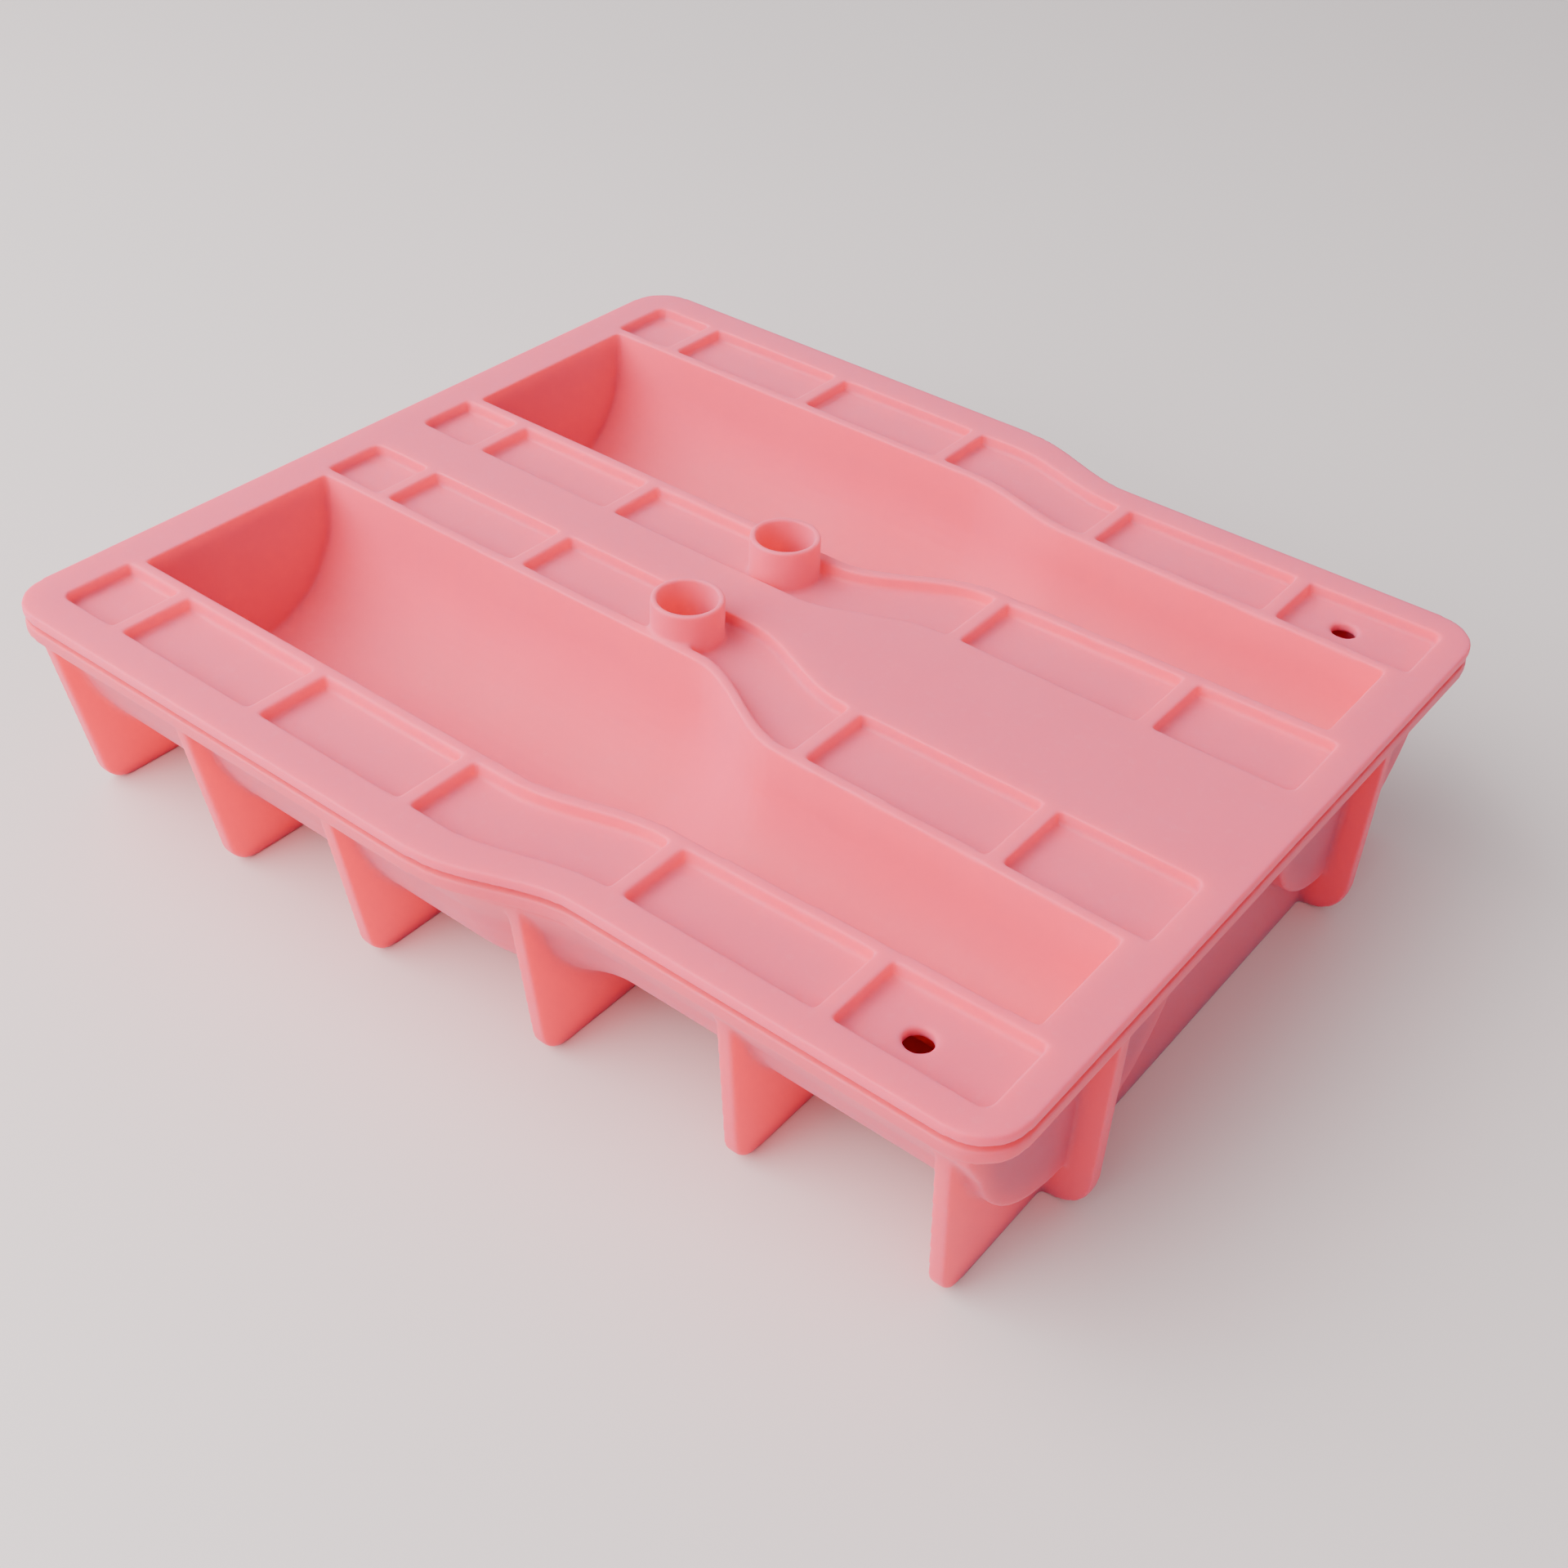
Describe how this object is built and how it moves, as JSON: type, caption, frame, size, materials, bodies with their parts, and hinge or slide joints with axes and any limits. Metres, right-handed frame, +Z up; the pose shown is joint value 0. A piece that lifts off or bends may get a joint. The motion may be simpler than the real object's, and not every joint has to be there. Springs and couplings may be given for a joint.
{
  "type": "casting mould",
  "caption": "Soft silicone casting mould: a core tray with bottle-shaped troughs, pour spouts and vents, nested in a footed jacket tray.",
  "frame": {"origin": "centre of the footprint on the surface the mould stands on", "axes": "+X along the cavities, from the wide ends to the neck ends; +Y across the mould to the left of +X; +Z up, the way the core tray lifts out"},
  "size_m": [0.29, 0.248, 0.0722],
  "materials": {
    "silicone": "matte translucent pink silicone"
  },
  "bodies": {
    "jacket_tray": {"lip_ring": "silicone", "base_deck": "silicone", "jacket_left": "silicone", "jacket_right": "silicone", "end_gusset_left": "silicone", "end_gusset_right": "silicone", "foot_plate_1": "silicone", "foot_plate_2": "silicone", "foot_plate_3": "silicone", "foot_plate_4": "silicone", "foot_plate_5": "silicone", "foot_plate_6": "silicone"},
    "core_tray": {"rim_flange": "silicone", "center_web": "silicone", "trough_left": "silicone", "trough_right": "silicone", "outer_strip_left": "silicone", "outer_strip_right": "silicone", "inner_strip_left": "silicone", "inner_strip_right": "silicone", "spout_left": "silicone", "spout_right": "silicone"}
  },
  "joints": [
    {"name": "core_lift", "type": "slide", "parent": "jacket_tray", "child": "core_tray", "axis": [0, 0, 1], "range_m": [0, 0.06]}
  ]
}
